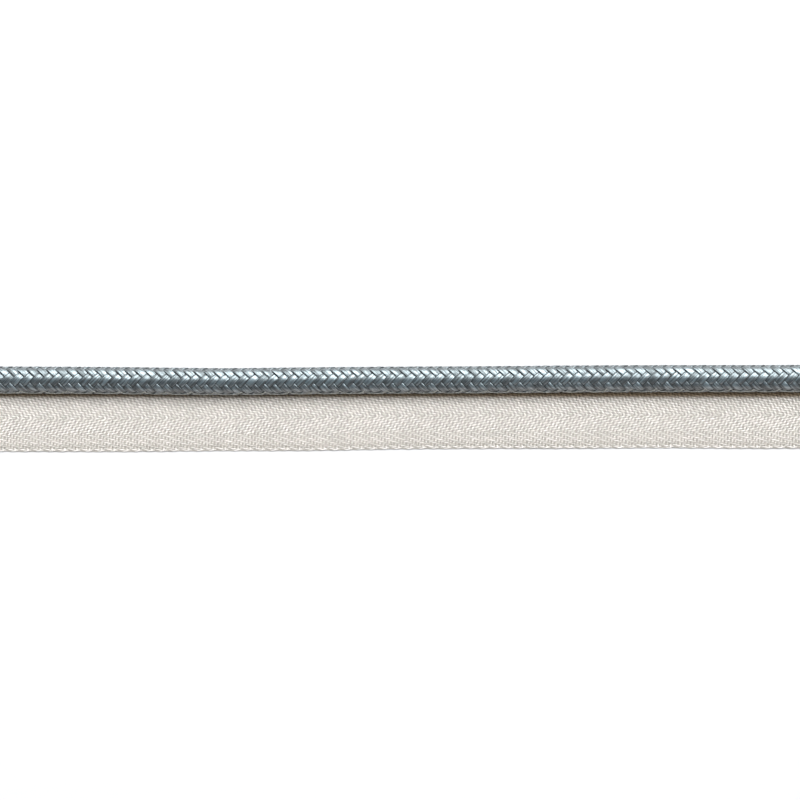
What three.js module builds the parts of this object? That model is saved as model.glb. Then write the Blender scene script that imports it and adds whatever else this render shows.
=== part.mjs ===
// Silk lip cord: a braided silk cord lying along the upper edge of the herringbone tape it is sewn to.
// Millimetres. X runs along the cord, +Y from the tape towards the cord, +Z up.
// The origin is under the middle of the part's box, on the surface that the tape lies on.
import * as THREE from 'three';

// Driving dimensions.
const LENGTH = 200;
const CORD_DIAMETER = 6;
const TAPE_WIDTH = 16;
const TAPE_THICKNESS = 1;
const SEAM_GAP = 0.3;

// The cord's straight centre line, and the tape's lower edge, measured from the origin.
const CORD_LINE_Y = 6.47;
const TAPE_LOW_EDGE_Y = -9.32;

// The braid: 16 strands, 8 each way, over two and under two. A half step round is half a strand's
// width, and a half step along is half of the way from one crossing row to the next.
const STRANDS = 16;
const FLOAT_PITCH = 2.198;
const BRAID_RELIEF = 0.28;
const FIRST_COLUMN_DEG = 1;

// How far the cord's centre line and the tape's lower edge stray from straight, every 20 mm from
// -120 to 120, so that the ends of the part lie inside the curves. Columns: x, cord, tape.
const STRAYS = [
  { x: -120, cord: 0.03, tape: -0.36 },
  { x: -100, cord: 0.0, tape: -0.41 },
  { x: -80, cord: -0.05, tape: -0.43 },
  { x: -60, cord: -0.19, tape: -0.44 },
  { x: -40, cord: -0.39, tape: -0.26 },
  { x: -20, cord: -0.2, tape: -0.2 },
  { x: 0, cord: -0.04, tape: 0.13 },
  { x: 20, cord: 0.05, tape: 0.25 },
  { x: 40, cord: 0.22, tape: 0.28 },
  { x: 60, cord: 0.29, tape: 0.4 },
  { x: 80, cord: 0.3, tape: 0.26 },
  { x: 100, cord: 0.36, tape: 0.36 },
  { x: 120, cord: 0.42, tape: 0.4 },
];

// The tape's section: how much of it lies clear of the cord as the lip that a seam takes, how far the
// soft selvedges are rounded off, and the step along the tape.
const LIP_WIDTH = 12.2;
const SELVEDGE_ROUND = 0.3;
const TAPE_STEP = 2.5;

const SILK = { color: 0x8fa0a6, roughness: 0.42, metalness: 0 };
const COTTON = { color: 0xdcd6cc, roughness: 0.92, metalness: 0 };

// A smooth line through one column of the table, as a function of x.
function strayLine(column) {
  const curve = new THREE.SplineCurve(STRAYS.map((row) => new THREE.Vector2(row.x, row[column])));
  const first = STRAYS[0].x;
  const span = STRAYS[STRAYS.length - 1].x - first;
  return (x) => curve.getPoint((x - first) / span).y;
}

const cordStray = strayLine('cord');
const tapeStray = strayLine('tape');

// A closed skin over rings of equal length, with a fan over each end. risesAt says which way the
// diagonal of each four-sided face runs.
function skin(rings, middles, risesAt) {
  const around = rings[0].length;
  const points = [...rings.flat(), ...middles];
  const faces = [];
  const at = (ring, k) => ring * around + (k % around);
  for (let ring = 0; ring < rings.length - 1; ring++) {
    for (let k = 0; k < around; k++) {
      const [a, b, c, d] = [at(ring, k), at(ring + 1, k), at(ring + 1, k + 1), at(ring, k + 1)];
      faces.push(...(risesAt(ring, k) ? [a, b, c, a, c, d] : [a, b, d, b, c, d]));
    }
  }
  const [start, end] = [points.length - 2, points.length - 1];
  const last = rings.length - 1;
  for (let k = 0; k < around; k++) {
    faces.push(start, at(0, k), at(0, k + 1), end, at(last, k + 1), at(last, k));
  }
  const geometry = new THREE.BufferGeometry();
  geometry.setAttribute('position', new THREE.Float32BufferAttribute(points.flat(), 3));
  geometry.setIndex(faces);
  return geometry;
}

// The cord's skin has a point at every half step. Every other point lies on a strand's crest, and the
// rest lie in the grooves between strands. Where one strand floats over two others, the diagonal
// joins its two crest points; at the zigzag between two columns it follows the groove.
function braidedCord() {
  const radius = CORD_DIAMETER / 2;
  const halfSteps = 2 * Math.round(LENGTH / FLOAT_PITCH);
  const along = LENGTH / halfSteps;
  const turn = (2 * Math.PI) / STRANDS;
  const firstAngle = THREE.MathUtils.degToRad(FIRST_COLUMN_DEG) - turn / 2;
  const height = TAPE_THICKNESS + SEAM_GAP + radius;
  const point = (x, angle, r) => [
    x,
    CORD_LINE_Y + cordStray(x) + r * Math.sin(angle),
    height + r * Math.cos(angle),
  ];
  const rings = [];
  for (let i = 0; i <= halfSteps; i++) {
    const ring = [];
    for (let k = 0; k < STRANDS; k++) {
      const crest = (i + k) % 2 === 1;
      ring.push(point(i * along - LENGTH / 2, firstAngle + k * turn, crest ? radius : radius - BRAID_RELIEF));
    }
    rings.push(ring);
  }
  const risesAt = (i, k) => (k % 2 === 0 ? k % 4 === 0 : (i + k) % 2 === 0);
  return skin(rings, [point(-LENGTH / 2, 0, 0), point(LENGTH / 2, 0, 0)], risesAt);
}

// The tape lies flat on its underside. Its width is even, and both edges stray together.
function lipTape() {
  const round = SELVEDGE_ROUND;
  const section = [
    [0, 0],
    [0, TAPE_THICKNESS - round],
    [round, TAPE_THICKNESS],
    [LIP_WIDTH, TAPE_THICKNESS],
    [TAPE_WIDTH - round, TAPE_THICKNESS],
    [TAPE_WIDTH, TAPE_THICKNESS - round],
    [TAPE_WIDTH, 0],
  ];
  const steps = Math.round(LENGTH / TAPE_STEP);
  const rings = [];
  for (let i = 0; i <= steps; i++) {
    const x = (i / steps - 0.5) * LENGTH;
    const edge = TAPE_LOW_EDGE_Y + tapeStray(x);
    rings.push(section.map(([y, z]) => [x, edge + y, z]));
  }
  const middle = (x) => [x, TAPE_LOW_EDGE_Y + tapeStray(x) + TAPE_WIDTH / 2, TAPE_THICKNESS / 2];
  return skin(rings, [middle(-LENGTH / 2), middle(LENGTH / 2)], () => true);
}

function piece(name, geometry, look) {
  const mesh = new THREE.Mesh(geometry, new THREE.MeshStandardMaterial(look));
  mesh.name = name;
  return mesh;
}

const part = new THREE.Group();
part.add(piece('braided_cord', braidedCord(), SILK));
part.add(piece('lip_tape', lipTape(), COTTON));

export default part;
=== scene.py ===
"""A silk lip cord: a braided silk cord sewn along the upper edge of a herringbone tape."""
import math
import random

import bmesh
import bpy
from mathutils import Matrix, Vector


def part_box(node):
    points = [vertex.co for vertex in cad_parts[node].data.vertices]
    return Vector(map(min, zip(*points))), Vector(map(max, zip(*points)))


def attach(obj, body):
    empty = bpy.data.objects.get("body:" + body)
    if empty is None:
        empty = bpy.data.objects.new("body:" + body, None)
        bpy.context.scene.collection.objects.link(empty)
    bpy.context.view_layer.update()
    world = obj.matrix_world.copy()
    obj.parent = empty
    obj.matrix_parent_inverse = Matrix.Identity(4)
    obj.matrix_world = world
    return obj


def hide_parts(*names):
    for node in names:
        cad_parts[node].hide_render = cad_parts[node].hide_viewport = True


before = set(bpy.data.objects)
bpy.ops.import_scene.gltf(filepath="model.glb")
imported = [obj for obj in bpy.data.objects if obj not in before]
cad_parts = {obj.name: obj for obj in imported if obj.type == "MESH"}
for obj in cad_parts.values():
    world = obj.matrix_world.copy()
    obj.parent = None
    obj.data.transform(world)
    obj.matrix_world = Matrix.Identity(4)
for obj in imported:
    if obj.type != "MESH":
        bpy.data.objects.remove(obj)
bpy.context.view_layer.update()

CORD_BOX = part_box("braided_cord")

MM = 0.001
LENGTH = CORD_BOX[1][0] - CORD_BOX[0][0]
HALF_LENGTH = LENGTH / 2
SAME_PLACE = 1e-7

# How far the cord's centre line and the tape's lower edge stray from straight: x, cord, tape.
STRAYS_MM = [
    (-120, 0.03, -0.36),
    (-100, 0.0, -0.41),
    (-80, -0.05, -0.43),
    (-60, -0.19, -0.44),
    (-40, -0.39, -0.26),
    (-20, -0.2, -0.2),
    (0, -0.04, 0.13),
    (20, 0.05, 0.25),
    (40, 0.22, 0.28),
    (60, 0.29, 0.4),
    (80, 0.3, 0.26),
    (100, 0.36, 0.36),
    (120, 0.42, 0.4),
]
STRAY_STEP_MM = 20

# The cord: its diameter, and where it lies.
CORD_DIAMETER = 6 * MM
CORD_LINE = 6.47 * MM
CORD_HEIGHT = 4.17 * MM

# Its braid: 16 flat strands, 8 each way, over two and under two. A half step round is half of the
# distance between strands of one hand. Floats are counted in half steps from the first groove.
STRANDS_EACH_WAY = 8
FLOAT_PITCH = LENGTH / round(LENGTH / (2.198 * MM))
LEAD = STRANDS_EACH_WAY * FLOAT_PITCH
HALF_STEP_DEG = 22.5
FIRST_COLUMN_DEG = 1.0
BRAID_START_DEG = FIRST_COLUMN_DEG - HALF_STEP_DEG / 2
BRAID_SHIFT = -0.7 * MM
STEPS_EACH_HALF_STEP = 4
SPARE_PITCHES = 3
FLOAT_MIDDLE = {1: 0.5, -1: 2.5}
DIVE_START = 0.3
DIVE_END = 1.05

# A strand: a flat section with a crowned top, in halves of its width and of its thickness, and what
# makes it unlike the others: how high its floats rise, and how it wanders to one side and back.
CREST_RADIUS = CORD_DIAMETER / 2 + 0.05 * MM
STRAND_LIFT = 0.12 * MM
STRAND_HALF_THICKNESS = 0.17 * MM
STRAND_COVER = 0.996
STRAND_CROWN = 0.35
STRAND_TOP = (-1, -0.72, -0.26, 0.26, 0.72, 1)
STRAND_UNDERSIDE = [(0.6, -1.0), (-0.6, -1.0)]
STRAND_TAKE_UP = 1.45
UNLIKE_FLOATS = 61
FLOAT_RISES = (0.88, 1.12)
WANDER = 0.025 * MM
WANDER_LENGTH = 23 * MM

# The fused yarn ends at each end of the cord: how far out from the cut, and the radius.
END_PROFILE_MM = [(-0.6, 0), (-0.6, 2.7), (-0.1, 2.95), (0.1, 2.85), (0.22, 2.4), (0.27, 1.3), (0.3, 0)]
END_SIDES = 32

# The tape: 40 warp ends along it, the lower twelve set closer, and a pick every 0.7 mm. The twill
# repeats every four picks, and turns back at the twentieth end.
TAPE_LOW_EDGE = -9.32 * MM
TAPE_WIDTH = 16 * MM
PICKS = round(LENGTH / (0.7 * MM))
PICK = LENGTH / PICKS
CLOSE_ENDS = 12
WIDE_ENDS = 28
CLOSE_SETT = 0.317 * MM
WIDE_SETT = (TAPE_WIDTH - CLOSE_ENDS * CLOSE_SETT) / WIDE_ENDS
REVERSAL_END = 20
REPEAT_PICKS = 4

# Its yarns: six-sided, waving up and down by the crimp about the cloth's middle. The weft's crowns lie
# lower where the warp ends are close, and are painted darker there, as shade, by a part of that.
CLOTH_MIDDLE = 0.47 * MM
CRIMP = 0.24 * MM
YARN_SIDES = 6
YARN_THICKNESS = 0.36 * MM
WARP_COVER = 0.94
WEFT_WIDTH = 0.52 * MM
WEFT_STEP = 0.2 * MM
WEFT_SINK = 0.1 * MM
SUNK_PAINTED_SHADE = 0.7
LOOP_RADIUS = PICK / 2
LOOP_START = LOOP_RADIUS + WEFT_WIDTH / 2

# What makes its floats unlike: height, tone, lean to one side, and a slow waver. Each kind of chance
# starts at its own place in one long list.
HIGHEST_RISE = 1.2
UNLIKE_YARN = 0.45
WEFT_LEAN = 0.19 * MM
WARP_LEAN = 0.09 * MM
CLOSE_LEAN = -0.3
LEAST_LEAN = 0.7
UNLIKE_LEAN = 0.6
WAVER_LENGTH = 8 * MM
WEFT_WAVER = 0.07 * MM
WARP_WAVER = 0.025 * MM
CHANCES = 997
CHANCES_EACH_YARN = 31
TONE_CHANCES = 211
LEAN_CHANCES = 101

# Its edges: the cloth lies lower, waves less and is thinner there, with a line of painted shade beside
# each selvedge, where a groove would lie, and painted light on the loops round it.
EDGE_REACH = 1.2 * MM
EDGE_DROP = 0.12 * MM
EDGE_CALM = 0.5
EDGE_THINNING = 0.4
SELVEDGE_LINE = 1.1 * MM
SELVEDGE_LINE_REACH = 0.3 * MM
SELVEDGE_PAINTED_SHADE = 0.35
LOOP_PAINTED_LIGHT = 0.9

# The sheet below the yarns.
GROUND_INSET = 0.3 * MM
GROUND_HEIGHT = 0.25 * MM
GROUND_THICKNESS = 0.16 * MM
GROUND_STRIPS = 16

# The seam: a fine thread in scallops along the cord's lower flank, with a stitch down from each cusp.
# The thread's middle stands out from the cord's skin by a part of its diameter.
STITCH = 5.5 * MM
STITCH_STRAY = 0.08
STITCH_ASIDE_MM = (0.7, 1.3)
THREAD_DIAMETER = 0.17 * MM
CUSP_DEG = (-56, -48)
CUSP_OUT = 0.1
SCALLOP_STEPS = 12
SCALLOP_LOW_DEG = 78
SCALLOP_FULLNESS = 0.6
SCALLOP_OUT = 0.35
STITCH_STEPS = 6
STITCH_LOW_DEG = 92
STITCH_OUT = 0.4

# Fibres: how often their pattern changes along a metre of yarn, and how far a yarn's tone shifts it, so
# that no two look alike. Streaks start and are full at two values of the noise.
FIBRE_RUN = 130.0
TONE_SHIFT = 37.0
FINER = 2.7
STREAK_HEIGHT = 0.7
STREAK_EDGES = (0.42, 0.58)

# Silk: dark and light strands, the colour between streaks of filament, whose bright streaks are partly
# painted glints, the painted shade in grooves, where a groove starts at a strand's sides and at its
# dives, and what the streaks and grooves do to the gloss.
WHITE = (1.0, 1.0, 1.0)
SLATE_COLOURS = ((0.02, 0.033, 0.042), (0.055, 0.083, 0.097))
BETWEEN_STREAKS = (0.15, 0.15, 0.155)
GROOVE_PAINTED_SHADE = (0.3, 0.3, 0.3)
GROOVE_AT_SIDES = (1.1, 0.88)
GROOVE_AT_DIVES = (-0.85, -0.5)
STREAK_ROUGHNESS = (0.6, 0.4)
GROOVE_ROUGHNESS = (0.75, 0.2)
STREAK_GLOSS = (0.25, 0.9)
SILK_FINENESS = 2.1
FILAMENT_RELIEF = 0.18 * MM

# Cotton: light and dark yarns of the warp and of the weft, how deep the painted shade starts in each,
# and the colours of that painted shade from the depths up to the crowns.
WARP_COLOURS = ((0.92, 0.88, 0.85), (0.76, 0.75, 0.71))
WEFT_COLOURS = ((0.92, 0.89, 0.85), (0.76, 0.74, 0.71))
WARP_DEPTHS = (0.25, 1.0)
WEFT_DEPTHS = (0.15, 1.0)
DEPTH_PAINTED_SHADE = [
    (0.0, (0.6, 0.58, 0.55)),
    (0.5, (0.79, 0.78, 0.76)),
    (0.8, (0.91, 0.9, 0.89)),
    (1.0, WHITE),
]
BETWEEN_FIBRES = (0.62, 0.6, 0.57)
FIBRE_SHADE = 0.35
COTTON_FINENESS = 6.0
PLIES = 2.0
PLY_TWIST = 9000.0
PLY_RELIEF = 0.06 * MM

# The painted warm shadow on the tape along the seam, under the cord's edge: where it starts and is full,
# and where it fades again.
SEAM_SHADE = (2.2 * MM, 3.0 * MM)
SEAM_SHADE_END = (4.9 * MM, 3.9 * MM)
SEAM_SHADOW_TINT = (0.47, 0.37, 0.25)

# Sewing thread.
THREAD_COLOURS = [(0.3, (0.14, 0.14, 0.125)), (0.7, (0.33, 0.33, 0.3))]
THREAD_PATCHES = 2600.0
THREAD_RELIEF = 0.04 * MM

# The room: a white floor, a dim sky, a soft light for the matt surfaces and two for the gloss, each at
# an angle from straight up towards the back: name, degrees, distance, how far to the right, size,
# power, colour, in gloss.
FLOOR_SIZE = 3.0
FLOOR_COLOUR = (0.61, 0.61, 0.61, 1)
SKY_COLOUR = (0.9, 0.95, 1.0, 1)
SKY_STRENGTH = 0.22
SOFT_LIGHTS = [
    ("soft light above", 19, 1.2, 0, (1.8, 0.8), 32.8, (0.99, 0.99, 1.0), False),
    ("soft light behind", 57.5, 1.2, 0.3, (1.9, 1.1), 96, (0.83, 0.96, 1.0), True),
    ("soft light in front", -80, 1.2, 0, (1.9, 0.4), 7, (1.0, 0.98, 0.95), True),
]

# The photo: 800 pixels across 181.1 mm, with the cord's line 380 pixels down.
FRAME_PX = 800
PX = 0.2264 * MM
CORD_LINE_PX = 379.9
CAMERA_LENS = 135.0
SENSOR = 36.0

random.seed(11)
FLOAT_CHANCES = [random.random() for _ in range(CHANCES)]


def smooth_stray(x, column):
    """The stray at x, on a smooth curve through one column of the table."""
    place = (x / MM - STRAYS_MM[0][0]) / STRAY_STEP_MM
    i = min(max(int(place), 1), len(STRAYS_MM) - 3)
    t = place - i
    a, b, c, d = (STRAYS_MM[i + k][column] for k in (-1, 0, 1, 2))
    start, end = (c - a) / 2, (d - b) / 2
    cubic = 2 * (b - c) + start + end
    square = 3 * (c - b) - 2 * start - end
    return (b + t * (start + t * (square + t * cubic))) * MM


def cord_line(x):
    """How far back the cord's centre line lies at x."""
    return CORD_LINE + smooth_stray(x, 1)


def tape_line(x):
    """How far back the tape's lower edge lies at x."""
    return TAPE_LOW_EDGE + smooth_stray(x, 2)


def piece(name, bm, material, node):
    """Makes a smooth object of a bmesh and puts it in the frame in a CAD node's place."""
    mesh = bpy.data.meshes.new(name)
    bm.to_mesh(mesh)
    bm.free()
    mesh.polygons.foreach_set("use_smooth", [True] * len(mesh.polygons))
    mesh.materials.append(material)
    obj = bpy.data.objects.new(name, mesh)
    bpy.context.scene.collection.objects.link(obj)
    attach(obj, "root")
    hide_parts(node)
    return obj


# Camera.
def add_camera():
    """Looks straight down on the part, with the photo's 800 pixels across 181 mm."""
    data = bpy.data.cameras.new("camera")
    data.lens = CAMERA_LENS
    data.sensor_width = SENSOR
    camera = bpy.data.objects.new("camera", data)
    height = FRAME_PX * PX * CAMERA_LENS / SENSOR
    middle = CORD_LINE - (FRAME_PX / 2 - CORD_LINE_PX) * PX
    camera.location = (0, middle, height)
    bpy.context.scene.collection.objects.link(camera)
    bpy.context.scene.camera = camera


# Materials.
class Nodes:
    """Adds and links nodes in one tree."""

    def __init__(self, tree):
        self.tree = tree
        self.column = 0

    def add(self, kind, settings=None, **inputs):
        """A new node with its settings, and its inputs by name, with _ for a space."""
        node = self.tree.nodes.new(kind)
        node.location = (self.column * 180, 0)
        self.column += 1
        for key, value in (settings or {}).items():
            setattr(node, key, value)
        for key, value in inputs.items():
            self.feed(node.inputs[key.replace("_", " ")], value)
        return node

    def feed(self, socket, value):
        """Links another node's output to a socket, or sets its number or colour."""
        if isinstance(value, bpy.types.NodeSocket):
            self.tree.links.new(value, socket)
        elif isinstance(value, tuple):
            socket.default_value = (*value, 1)
        else:
            socket.default_value = value

    def math(self, operation, *values):
        node = self.add("ShaderNodeMath", {"operation": operation})
        for socket, value in zip(node.inputs, values):
            self.feed(socket, value)
        return node.outputs[0]

    def attribute(self, name):
        return self.add("ShaderNodeAttribute", {"attribute_name": name}).outputs["Fac"]

    def vector(self, x, y, z):
        return self.add("ShaderNodeCombineXYZ", X=x, Y=y, Z=z).outputs[0]

    def noise(self, vector, scale, detail, roughness):
        node = self.add(
            "ShaderNodeTexNoise", Vector=vector, Scale=scale, Detail=detail, Roughness=roughness
        )
        return node.outputs["Fac"]

    def between(self, value, low, high, new_low=0.0, new_high=1.0):
        """Runs from new_low to new_high while the value runs from low to high."""
        node = self.add("ShaderNodeMapRange", Value=value)
        for socket, number in zip(node.inputs[1:5], (low, high, new_low, new_high)):
            self.feed(socket, number)
        return node.outputs[0]

    def ramp(self, value, stops):
        node = self.add("ShaderNodeValToRGB", Fac=value)
        elements = node.color_ramp.elements
        while len(elements) < len(stops):
            elements.new(0.5)
        for element, (position, colour) in zip(elements, stops):
            element.position = position
            element.color = (*colour, 1)
        return node.outputs["Color"]

    def multiply(self, first, second, amount=1.0):
        """Multiplies two colours, the second in full or in part."""
        node = self.add("ShaderNodeMix", {"data_type": "RGBA", "blend_type": "MULTIPLY"}, Factor=amount)
        self.feed(node.inputs[6], first)
        self.feed(node.inputs[7], second)
        return node.outputs[2]

    def darken(self, colour, mask, dark, amount=1.0):
        """Darkens a colour where a mask is low."""
        return self.multiply(colour, self.ramp(mask, [(0.0, dark), (1.0, WHITE)]), amount)

    def bump(self, shader, strength, distance, height):
        node = self.add("ShaderNodeBump", Strength=strength, Distance=distance, Height=height)
        self.feed(shader.inputs["Normal"], node.outputs[0])


def new_material(name, **values):
    """A material with its Principled BSDF, and the values that are the same all over it."""
    material = bpy.data.materials.new(name)
    material.use_nodes = True
    shader = material.node_tree.nodes["Principled BSDF"]
    for key, value in values.items():
        shader.inputs[key.replace("_", " ")].default_value = value
    return material, shader, Nodes(material.node_tree)


def fibre_group():
    """Fine fibres that follow a yarn: streaks for its colour and gloss, and a height for its bump."""
    group = bpy.data.node_groups.new("yarn fibres", "ShaderNodeTree")
    for name in ("Along", "Across", "Tone", "Fineness"):
        group.interface.new_socket(name, in_out="INPUT", socket_type="NodeSocketFloat")
    for name in ("Streaks", "Height"):
        group.interface.new_socket(name, in_out="OUTPUT", socket_type="NodeSocketFloat")
    nodes = Nodes(group)
    given = nodes.add("NodeGroupInput")
    fine = nodes.math("MULTIPLY", given.outputs["Across"], given.outputs["Fineness"])
    run = nodes.math("MULTIPLY", given.outputs["Along"], FIBRE_RUN)
    shift = nodes.math("MULTIPLY", given.outputs["Tone"], TONE_SHIFT)
    streaks = nodes.noise(nodes.vector(fine, run, shift), 1.0, 2.0, 0.6)
    finer = nodes.noise(nodes.vector(nodes.math("MULTIPLY", fine, FINER), run, shift), 1.0, 2.0, 0.6)
    height = nodes.math("ADD", finer, nodes.math("MULTIPLY", streaks, STREAK_HEIGHT))
    nodes.add("NodeGroupOutput", Streaks=nodes.between(streaks, *STREAK_EDGES), Height=height)
    return group


def silk_material(fibres):
    """Glossy blue-grey silk: streaks of filament along each strand, partly painted glints, and a tone of
    its own, with painted shade in its grooves and where it dives.
    """
    material, shader, nodes = new_material(
        "blue-grey silk", IOR=1.6, Specular_IOR_Level=0.6, Coat_Roughness=0.36, Coat_IOR=1.8,
        Sheen_Weight=0.15, Sheen_Roughness=0.35,
    )
    tone, across = nodes.attribute("tone"), nodes.attribute("across")
    grain = nodes.add(
        "ShaderNodeGroup", {"node_tree": fibres},
        Along=nodes.attribute("along"), Across=across, Tone=tone, Fineness=SILK_FINENESS,
    )
    streaks = grain.outputs["Streaks"]
    inside = nodes.between(nodes.math("ABSOLUTE", across), *GROOVE_AT_SIDES)
    shown = nodes.math("MULTIPLY", inside, nodes.between(nodes.attribute("height"), *GROOVE_AT_DIVES))
    dark, light = SLATE_COLOURS
    slate = nodes.ramp(tone, [(0.0, dark), (1.0, light)])
    # Filament streaks in the colour, their bright ones partly painted glints.
    streaked = nodes.darken(slate, streaks, BETWEEN_STREAKS)
    # Painted shade in the grooves at the strand's sides and where it dives under others.
    nodes.feed(shader.inputs["Base Color"], nodes.darken(streaked, shown, GROOVE_PAINTED_SHADE))
    satin = nodes.between(streaks, 0.0, 1.0, *STREAK_ROUGHNESS)
    rough = nodes.math("MAXIMUM", satin, nodes.between(shown, 0.0, 1.0, *GROOVE_ROUGHNESS))
    nodes.feed(shader.inputs["Roughness"], rough)
    gloss = nodes.math("MULTIPLY", shown, nodes.between(streaks, 0.0, 1.0, *STREAK_GLOSS))
    nodes.feed(shader.inputs["Coat Weight"], gloss)
    nodes.bump(shader, 1.0, FILAMENT_RELIEF, grain.outputs["Height"])
    return material


def cotton_material(name, fibres, colours, depths):
    """Matt unbleached cotton: a two-ply twist, soft fibres, a tone for each yarn, painted shade in its
    depths and a painted warm shadow along the seam.
    """
    material, shader, nodes = new_material(
        name, Roughness=0.9, Sheen_Weight=0.15, Specular_IOR_Level=0.25
    )
    tone, along, side = (nodes.attribute(key) for key in ("tone", "along", "side"))
    round_yarn = nodes.math("ARCTAN2", side, nodes.attribute("crown"))
    ply = nodes.math("MULTIPLY", round_yarn, PLIES)
    turn = nodes.math("ADD", ply, nodes.math("MULTIPLY", along, PLY_TWIST))
    twist = nodes.between(nodes.math("SINE", turn), -1.0, 1.0)
    grain = nodes.add(
        "ShaderNodeGroup", {"node_tree": fibres},
        Along=along, Across=side, Tone=tone, Fineness=COTTON_FINENESS,
    )
    light, dark = colours
    yarn = nodes.ramp(tone, [(0.0, dark), (1.0, light)])
    yarn = nodes.darken(yarn, grain.outputs["Streaks"], BETWEEN_FIBRES, FIBRE_SHADE)
    # Painted shade: the yarns darken from their crowns down into the depths of the weave.
    deep = nodes.between(nodes.attribute("height"), *depths)
    cloth = nodes.multiply(yarn, nodes.ramp(deep, DEPTH_PAINTED_SHADE))
    place = nodes.add("ShaderNodeTexCoord").outputs["Object"]
    back = nodes.add("ShaderNodeSeparateXYZ", Vector=place).outputs["Y"]
    # Painted warm shadow on the tape under the cord's lower edge, along the seam.
    seam = nodes.math("MULTIPLY", nodes.between(back, *SEAM_SHADE), nodes.between(back, *SEAM_SHADE_END))
    nodes.feed(shader.inputs["Base Color"], nodes.multiply(cloth, SEAM_SHADOW_TINT, seam))
    nodes.bump(shader, 0.5, PLY_RELIEF, nodes.math("ADD", twist, grain.outputs["Height"]))
    return material


def thread_material():
    """Fine pale thread with light and dark patches."""
    material, shader, nodes = new_material("pale sewing thread", Roughness=0.55, Sheen_Weight=0.2)
    place = nodes.add("ShaderNodeTexCoord").outputs["Object"]
    patches = nodes.noise(place, THREAD_PATCHES, 2.0, 0.55)
    nodes.feed(shader.inputs["Base Color"], nodes.ramp(patches, THREAD_COLOURS))
    nodes.bump(shader, 0.4, THREAD_RELIEF, patches)
    return material


# Braided cord.
def float_height(phase):
    """How high a strand of the braid lies, from -1 to 1, with a steep dive at each end of its float."""
    away = abs((phase + 2) % 4 - 2)
    t = min(max((away - DIVE_START) / (DIVE_END - DIVE_START), 0), 1)
    return 1 - 2 * t * t * (3 - 2 * t)


def strand_section():
    """A flat strand's section, as (across, up) pairs: a crowned top and a plain underside."""
    return [(across, 1 - STRAND_CROWN * abs(across) ** 4) for across in STRAND_TOP] + STRAND_UNDERSIDE


def turned(degrees):
    """A turn about the cord's line, from straight up towards +Y."""
    return Matrix.Rotation(-math.radians(degrees), 3, "X")


def lay_strands(hand):
    """Eight like strands wound one way round a straight cord, each a spun section."""
    bm = bmesh.new()
    for name in ("across", "along", "tone", "height"):
        bm.verts.layers.float.new(name)
    across = bm.verts.layers.float["across"]
    middle = CREST_RADIUS - STRAND_LIFT - STRAND_HALF_THICKNESS
    start = -HALF_LENGTH - FLOAT_PITCH / 2 + BRAID_SHIFT
    ring = []
    for side, up in strand_section():
        aside = side * STRAND_COVER / 2
        place = Vector((start + aside * FLOAT_PITCH / 2, 0, middle + up * STRAND_HALF_THICKNESS))
        corner = bm.verts.new(turned(-hand * aside * HALF_STEP_DEG) @ place)
        corner[across] = side
        ring.append(corner)
    edges = [bm.edges.new(pair) for pair in zip(ring, ring[1:] + ring[:1])]
    each_turn = STEPS_EACH_HALF_STEP * 360 / HALF_STEP_DEG
    advance = LEAD / each_turn
    steps = math.ceil((LENGTH + SPARE_PITCHES * FLOAT_PITCH) / advance)
    bmesh.ops.spin(
        bm, geom=edges, cent=(0, 0, 0), axis=(1, 0, 0), dvec=(advance, 0, 0),
        angle=-hand * steps * math.tau / each_turn, steps=steps,
    )
    bmesh.ops.rotate(bm, verts=bm.verts, cent=(0, 0, 0), matrix=turned(BRAID_START_DEG))
    bmesh.ops.spin(
        bm, geom=bm.verts[:] + bm.edges[:] + bm.faces[:], cent=(0, 0, 0), axis=(1, 0, 0),
        angle=math.tau * (1 - 1 / STRANDS_EACH_WAY), steps=STRANDS_EACH_WAY - 1, use_duplicate=True,
    )
    return bm


def plait(bm, hand):
    """Lifts each strand where it floats over two others, and sinks it where it passes under two."""
    layers = bm.verts.layers.float
    along, tone, height = layers["along"], layers["tone"], layers["height"]
    tones = [random.random() for _ in range(STRANDS_EACH_WAY)]
    starts = [random.uniform(0, math.tau) for _ in range(STRANDS_EACH_WAY)]
    rises = [random.uniform(*FLOAT_RISES) for _ in range(UNLIKE_FLOATS)]
    for corner in bm.verts:
        x, y, z = corner.co
        degrees = math.degrees(math.atan2(y, z)) - BRAID_START_DEG
        steps = degrees / HALF_STEP_DEG
        wound = (x - BRAID_SHIFT + HALF_LENGTH) / FLOAT_PITCH - hand * steps / 2
        strand = math.floor(wound)
        aside = wound - strand - 0.5
        phase = steps + hand * aside - FLOAT_MIDDLE[hand]
        nth = math.floor((phase + 2) / 4) + 4 * strand
        corner[height] = float_height(phase)
        radius = math.hypot(y, z)
        lifted = radius + STRAND_LIFT * rises[nth % UNLIKE_FLOATS] * corner[height]
        sway = WANDER * math.sin(x * math.tau / WANDER_LENGTH + starts[strand % STRANDS_EACH_WAY])
        corner.co = (x + sway, y * lifted / radius, z * lifted / radius)
        corner[along] = x * STRAND_TAKE_UP
        corner[tone] = tones[strand % STRANDS_EACH_WAY]


def cut_to_length(bm):
    """Cuts both ends of what lies along X square, and closes the cuts."""
    for side in (-1, 1):
        bmesh.ops.bisect_plane(
            bm, geom=bm.verts[:] + bm.edges[:] + bm.faces[:], dist=SAME_PLACE,
            plane_co=(side * HALF_LENGTH, 0, 0), plane_no=(side, 0, 0), clear_outer=True,
        )
    close_ends(bm)


def close_ends(bm):
    """Closes every open end of a yarn or strand, and points its faces outwards."""
    bmesh.ops.holes_fill(bm, edges=[edge for edge in bm.edges if edge.is_boundary], sides=0)
    bmesh.ops.recalc_face_normals(bm, faces=bm.faces)


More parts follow.
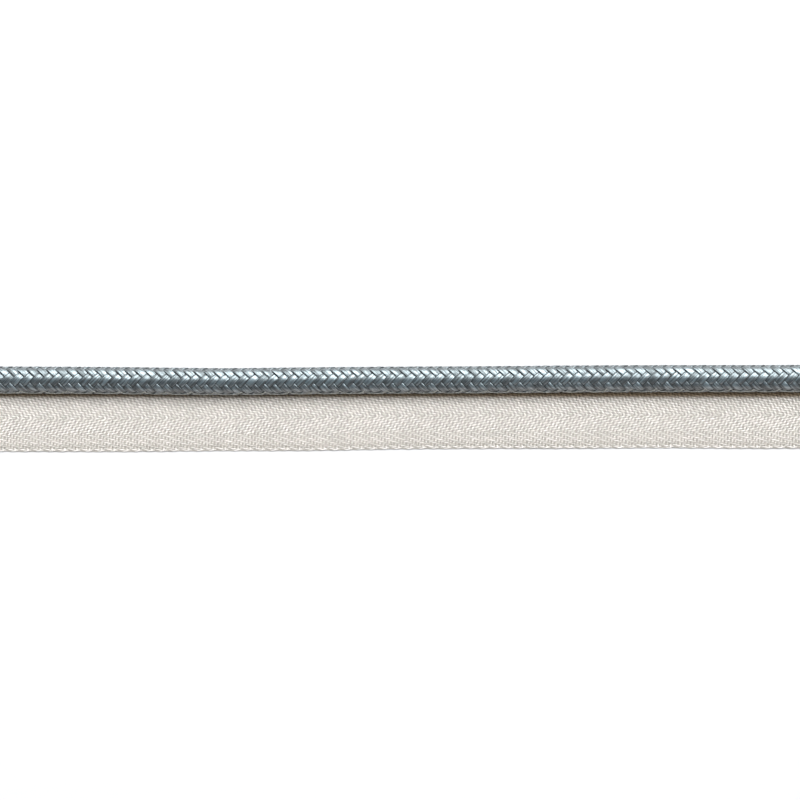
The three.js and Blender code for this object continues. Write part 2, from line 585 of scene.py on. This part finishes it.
def braided_cord(silk):
    """All the strands of the braid, laid along the cord's line."""
    whole = bpy.data.meshes.new("strands")
    bm = bmesh.new()
    for hand in (1, -1):
        strands = lay_strands(hand)
        plait(strands, hand)
        cut_to_length(strands)
        strands.to_mesh(whole)
        strands.free()
        bm.from_mesh(whole)
    bpy.data.meshes.remove(whole)
    for corner in bm.verts:
        corner.co += Vector((0, cord_line(corner.co.x), CORD_HEIGHT))
    return piece("braided_silk_cord", bm, silk, "braided_cord")


def cord_end(silk, side):
    """The fused yarn ends that close one end of the cord: a low dome spun about its line."""
    bm = bmesh.new()
    chain = [
        bm.verts.new((side * (HALF_LENGTH + out * MM), 0, radius * MM))
        for out, radius in END_PROFILE_MM
    ]
    edges = [bm.edges.new(pair) for pair in zip(chain, chain[1:])]
    bmesh.ops.spin(
        bm, geom=edges, cent=(0, 0, 0), axis=(1, 0, 0), angle=math.tau, steps=END_SIDES, use_merge=True
    )
    bmesh.ops.remove_doubles(bm, verts=bm.verts, dist=SAME_PLACE)
    bmesh.ops.recalc_face_normals(bm, faces=bm.faces)
    for corner in bm.verts:
        corner.co += Vector((0, cord_line(side * HALF_LENGTH), CORD_HEIGHT))
    return piece("cord_end_right" if side > 0 else "cord_end_left", bm, silk, "braided_cord")


# Herringbone tape.
def end_place(j):
    """How far warp end j lies above the tape's lower edge."""
    if j < CLOSE_ENDS:
        return (j + 0.5) * CLOSE_SETT
    return CLOSE_ENDS * CLOSE_SETT + (j - CLOSE_ENDS + 0.5) * WIDE_SETT


def end_at(y):
    """The warp end at a height above the tape's lower edge, as a fraction."""
    close = CLOSE_ENDS * CLOSE_SETT
    return y / CLOSE_SETT - 0.5 if y < close else CLOSE_ENDS + (y - close) / WIDE_SETT - 0.5


def float_centre(j):
    """The place, in picks, of the middle of warp end j's float: the twill turns back half way."""
    if j >= REVERSAL_END:
        return j + 0.5
    if j <= REVERSAL_END - 1:
        return 2 * REVERSAL_END + 1.5 - j
    return REVERSAL_END + 0.5 + 2 * (REVERSAL_END - j)


def warp_turn(pick, j):
    """How far round its wave warp end j is at a pick, as an angle: 0 at the top of a float."""
    return (pick - float_centre(j)) * math.tau / REPEAT_PICKS


def chance(yarn, turn):
    """A number from 0 to 1 that is one yarn's own, and the same all along each of its floats."""
    nth = math.floor(turn / math.tau + 0.5)
    return FLOAT_CHANCES[(yarn * CHANCES_EACH_YARN + nth) % CHANCES]


def slack(yarn, turn):
    """How much more or less than usual a yarn rises in one float."""
    return HIGHEST_RISE - UNLIKE_YARN * chance(yarn, turn)


def waver(yarn, place, reach):
    """A yarn's slow drift to one side and back, which starts at random."""
    return reach * math.sin(place * math.tau / WAVER_LENGTH + FLOAT_CHANCES[yarn] * math.tau)


def lean(j):
    """How the floats lean at warp end j: against the twill, and less where the ends are close."""
    if j >= REVERSAL_END - 0.5:
        return 1
    return -1 if j > CLOSE_ENDS - 0.5 else CLOSE_LEAN


def sunk_crown(j, turn):
    """How much lower a pick's crowns lie where the warp ends are close, fading out over two ends."""
    closeness = min(max((CLOSE_ENDS + 1 - j) / 2, 0), 1)
    return WEFT_SINK * closeness * (1 - math.cos(turn)) / 2


def near_edge(y):
    """How near a place is to either edge of the tape, from 0 to 1."""
    return max(0, 1 - min(y, TAPE_WIDTH - y) / EDGE_REACH) ** 2


def height_at(lift, z, near):
    """How high a place on a yarn lies: z is its height on the yarn, and lift is the yarn's wave."""
    rise = lift * (1 - EDGE_CALM * near) + z * (1 - EDGE_THINNING * near)
    return CLOTH_MIDDLE - EDGE_DROP * near + rise


def painted_lightness(lift, z, y):
    """How light a yarn is painted: about 1 on the crown of a float's middle, less as painted shade in
    its depths and along the selvedge's line.
    """
    from_line = (min(y, TAPE_WIDTH - y) - SELVEDGE_LINE) / SELVEDGE_LINE_REACH
    # Painted shade along the selvedge's line, where a groove would lie.
    shade = SELVEDGE_PAINTED_SHADE * math.exp(-from_line ** 2)
    return (lift + z / 2) / (CRIMP + YARN_THICKNESS / 4) - shade


def yarns(start, step, steps, width, spacing, count):
    """Like straight yarns side by side, each an oval section extruded in steps and copied across."""
    bm = bmesh.new()
    for name in ("side", "crown", "along", "tone", "height"):
        bm.verts.layers.float.new(name)
    side, crown = (bm.verts.layers.float[name] for name in ("side", "crown"))
    sideways = Vector(spacing).normalized()
    ring = []
    for i in range(YARN_SIDES):
        angle = i * math.tau / YARN_SIDES
        place = Vector(start) + sideways * (math.sin(angle) * width / 2)
        corner = bm.verts.new(place + Vector((0, 0, math.cos(angle) * YARN_THICKNESS / 2)))
        corner[side], corner[crown] = math.sin(angle), math.cos(angle)
        ring.append(corner)
    edges = [bm.edges.new(pair) for pair in zip(ring, ring[1:] + ring[:1])]
    bmesh.ops.spin(bm, geom=edges, cent=(0, 0, 0), axis=(0, 0, 1), dvec=step, angle=0, steps=steps)
    bmesh.ops.spin(
        bm, geom=bm.verts[:] + bm.edges[:] + bm.faces[:], cent=(0, 0, 0), axis=(0, 0, 1),
        dvec=spacing, angle=0, steps=count - 1, use_duplicate=True,
    )
    close_ends(bm)
    return bm


def warp(name, cotton, first, count, sett):
    """Some of the tape's warp ends, which run along it and pass over and under two picks."""
    width = sett * WARP_COVER
    start = (-HALF_LENGTH, end_place(first), 0)
    bm = yarns(start, (PICK / 2, 0, 0), 2 * PICKS, width, (0, sett, 0), count)
    layers = bm.verts.layers.float
    side, along, tone, height = (layers[name] for name in ("side", "along", "tone", "height"))
    tones = [random.random() for _ in range(count)]
    for corner in bm.verts:
        x, y, z = corner.co
        line = y - corner[side] * width / 2
        j = round(end_at(line))
        turn = warp_turn((x + HALF_LENGTH) / PICK - 0.5, j)
        lift = CRIMP * slack(j, turn) * math.cos(turn)
        y += waver(j, x, WARP_WAVER) - lean(j) * WARP_LEAN * math.sin(turn)
        corner.co = (x, tape_line(x) + y, height_at(lift, z, near_edge(line)))
        corner[along] = x
        corner[tone] = (tones[j - first] + chance(j + TONE_CHANCES, turn)) / 2
        # How light the paint is here: painted shade in the depths of the weave.
        corner[height] = painted_lightness(lift, z, line)
    return piece(name, bm, cotton, "lip_tape")


def weft(name, cotton, first, count):
    """Some of the tape's picks, which cross it and turn round its edges into their neighbours."""
    quarter = LOOP_RADIUS * math.pi / 2
    low, high = LOOP_START - quarter, TAPE_WIDTH - LOOP_START + quarter
    steps = round((high - low) / WEFT_STEP)
    start = (-HALF_LENGTH + (first + 0.5) * PICK, low, 0)
    bm = yarns(start, (0, (high - low) / steps, 0), steps, WEFT_WIDTH, (PICK, 0, 0), count)
    layers = bm.verts.layers.float
    side, along, tone, height = (layers[name] for name in ("side", "along", "tone", "height"))
    tones = [random.random() for _ in range(count)]
    for corner in bm.verts:
        x, y, z = corner.co
        aside = corner[side] * WEFT_WIDTH / 2
        line = x - aside
        i = round((line + HALF_LENGTH) / PICK - 0.5)
        inner = min(max(y, LOOP_START), TAPE_WIDTH - LOOP_START)
        near = near_edge(inner)
        j = end_at(inner)
        turn = warp_turn(i, j)
        pick_turn = turn + math.pi
        lift = -CRIMP * slack(i, pick_turn) * math.cos(turn)
        sunk = sunk_crown(j, turn)
        corner[along] = y
        corner[tone] = (tones[i - first] + chance(i + TONE_CHANCES, pick_turn)) / 2
        # Painted shade in the weft's depths, deeper where its crowns sink between close ends.
        corner[height] = painted_lightness(lift - SUNK_PAINTED_SHADE * sunk, z, y)
        if y == inner:
            looseness = LEAST_LEAN + UNLIKE_LEAN * chance(i + LEAN_CHANCES, pick_turn)
            leaning = WEFT_LEAN * abs(lean(j)) * looseness
            x += waver(i, y, WEFT_WAVER) - leaning * math.sin(turn)
        else:
            out = -1 if y < inner else 1
            way = out if i % 2 else -out
            angle = abs(y - inner) / LOOP_RADIUS
            reach = LOOP_RADIUS - way * aside
            x = line + way * (LOOP_RADIUS - reach * math.cos(angle))
            y = inner + out * reach * math.sin(angle)
            lift *= math.cos(angle)
            # The loops are painted lighter as they turn round the edge.
            corner[height] += LOOP_PAINTED_LIGHT * (1 - math.cos(angle))
            near += (1 - near) * (1 - math.cos(angle))
        corner.co = (x, tape_line(x) + y, height_at(lift - sunk, z, near))
    return piece(name, bm, cotton, "lip_tape")


def tape_ground(cotton):
    """The cloth between the yarns: a thin sheet along the tape's middle."""
    bm = bmesh.new()
    bmesh.ops.create_grid(bm, x_segments=PICKS // 2, y_segments=GROUND_STRIPS, size=0.5)
    for corner in bm.verts:
        x = corner.co.x * LENGTH
        y = TAPE_WIDTH / 2 + corner.co.y * (TAPE_WIDTH - 2 * GROUND_INSET)
        corner.co = (x, tape_line(x) + y, GROUND_HEIGHT)
    # With no height of its own, the sheet takes the darkest painted shade of the cotton's depths.
    ground = piece("tape_ground", bm, cotton, "lip_tape")
    thicken = ground.modifiers.new("thickness", "SOLIDIFY")
    thicken.thickness = GROUND_THICKNESS
    thicken.offset = 0
    return ground


# Sewing.
def on_cord(x, degrees, out):
    """A point on the cord's flank: degrees from straight up towards the back, and out from its skin."""
    radius = CORD_DIAMETER / 2 + out * THREAD_DIAMETER
    angle = math.radians(degrees)
    return (x, cord_line(x) + radius * math.sin(angle), CORD_HEIGHT + radius * math.cos(angle))


def thread_piece(name, runs, thread):
    """Runs of fine thread, each a round line through its points."""
    curve = bpy.data.curves.new(name, "CURVE")
    curve.dimensions = "3D"
    curve.bevel_depth = THREAD_DIAMETER / 2
    curve.bevel_resolution = 1
    curve.use_fill_caps = True
    for points in runs:
        spline = curve.splines.new("POLY")
        spline.points.add(len(points) - 1)
        for point, place in zip(spline.points, points):
            point.co = (*place, 1)
        spline.use_smooth = True
    curve.materials.append(thread)
    obj = bpy.data.objects.new(name, curve)
    bpy.context.scene.collection.objects.link(obj)
    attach(obj, "root")
    return obj


def sewing(thread):
    """Scallops of thread along the cord's lower flank, with a stitch down to the tape at each cusp."""
    scallops, stitches = [], []
    count = int((LENGTH - STITCH) / STITCH)
    start = -count * STITCH / 2
    strays = [random.uniform(-STITCH_STRAY, STITCH_STRAY) for _ in range(count + 1)]
    cusps = [start + (n + stray) * STITCH for n, stray in enumerate(strays)]
    tops = [random.uniform(*CUSP_DEG) for _ in cusps]
    for n in range(count):
        for k in range(SCALLOP_STEPS):
            t = k / SCALLOP_STEPS
            x = cusps[n] + (cusps[n + 1] - cusps[n]) * t
            top = tops[n] + (tops[n + 1] - tops[n]) * t
            sag = math.sin(math.pi * t) ** SCALLOP_FULLNESS
            degrees = top - (SCALLOP_LOW_DEG + top) * sag
            scallops.append(on_cord(x, degrees, CUSP_OUT + SCALLOP_OUT * sag))
    for x, top in zip(cusps, tops):
        aside = random.uniform(*STITCH_ASIDE_MM) * MM
        points = []
        for k in range(STITCH_STEPS + 1):
            t = k / STITCH_STEPS
            degrees = top - (STITCH_LOW_DEG + top) * t
            points.append(on_cord(x - aside * t, degrees, CUSP_OUT + STITCH_OUT * t))
        points.append((x - aside, cord_line(x) - CORD_DIAMETER / 2, CLOTH_MIDDLE + CRIMP))
        stitches.append(points)
    return thread_piece("seam_thread", [scallops] + stitches, thread)


# Floor and light.
def add_floor():
    """A plain white surface."""
    bm = bmesh.new()
    bmesh.ops.create_grid(bm, x_segments=1, y_segments=1, size=FLOOR_SIZE / 2)
    mesh = bpy.data.meshes.new("floor")
    bm.to_mesh(mesh)
    bm.free()
    material = new_material(
        "white floor", Base_Color=FLOOR_COLOUR, Roughness=0.8, Specular_IOR_Level=0.2
    )[0]
    mesh.materials.append(material)
    floor = bpy.data.objects.new("floor", mesh)
    bpy.context.scene.collection.objects.link(floor)


def add_soft_light(name, degrees, distance, aside, size, power, colour, in_gloss):
    """A broad light that points at the part, seen in gloss alone or by matt surfaces alone."""
    data = bpy.data.lights.new(name, "AREA")
    data.shape = "RECTANGLE"
    data.size, data.size_y = size
    data.energy = power
    data.color = colour
    light = bpy.data.objects.new(name, data)
    light.visible_glossy = in_gloss
    light.visible_diffuse = not in_gloss
    angle = math.radians(degrees)
    place = Vector((aside, distance * math.sin(angle), distance * math.cos(angle)))
    light.location = place
    light.rotation_mode = "QUATERNION"
    light.rotation_quaternion = (-place).to_track_quat("-Z", "Y")
    bpy.context.scene.collection.objects.link(light)


def add_sky():
    """An even, dim sky, shown without a film look."""
    bpy.context.scene.view_settings.view_transform = "Standard"
    world = bpy.data.worlds.new("sky")
    bpy.context.scene.world = world
    world.use_nodes = True
    sky = world.node_tree.nodes["Background"]
    sky.inputs["Color"].default_value = SKY_COLOUR
    sky.inputs["Strength"].default_value = SKY_STRENGTH


def add_cord(fibres):
    """The cord with its two ends."""
    silk = silk_material(fibres)
    cord = braided_cord(silk)
    ends = [cord_end(silk, side) for side in (-1, 1)]


def add_tape(fibres):
    """The tape: its ground, warp and weft."""
    warp_cotton = cotton_material("cotton warp", fibres, WARP_COLOURS, WARP_DEPTHS)
    weft_cotton = cotton_material("cotton weft", fibres, WEFT_COLOURS, WEFT_DEPTHS)
    ground = tape_ground(weft_cotton)
    half = PICKS // 2
    yarn_pieces = [
        warp("tape_warp_close", warp_cotton, 0, CLOSE_ENDS, CLOSE_SETT),
        warp("tape_warp_wide", warp_cotton, CLOSE_ENDS, WIDE_ENDS, WIDE_SETT),
        weft("tape_weft_left", weft_cotton, 0, half),
        weft("tape_weft_right", weft_cotton, half, PICKS - half),
    ]


def main():
    """The whole scene, with the camera and the cord first."""
    add_camera()
    fibres = fibre_group()
    add_cord(fibres)
    add_tape(fibres)
    sewing(thread_material())
    add_floor()
    add_sky()
    for light in SOFT_LIGHTS:
        add_soft_light(*light)


main()
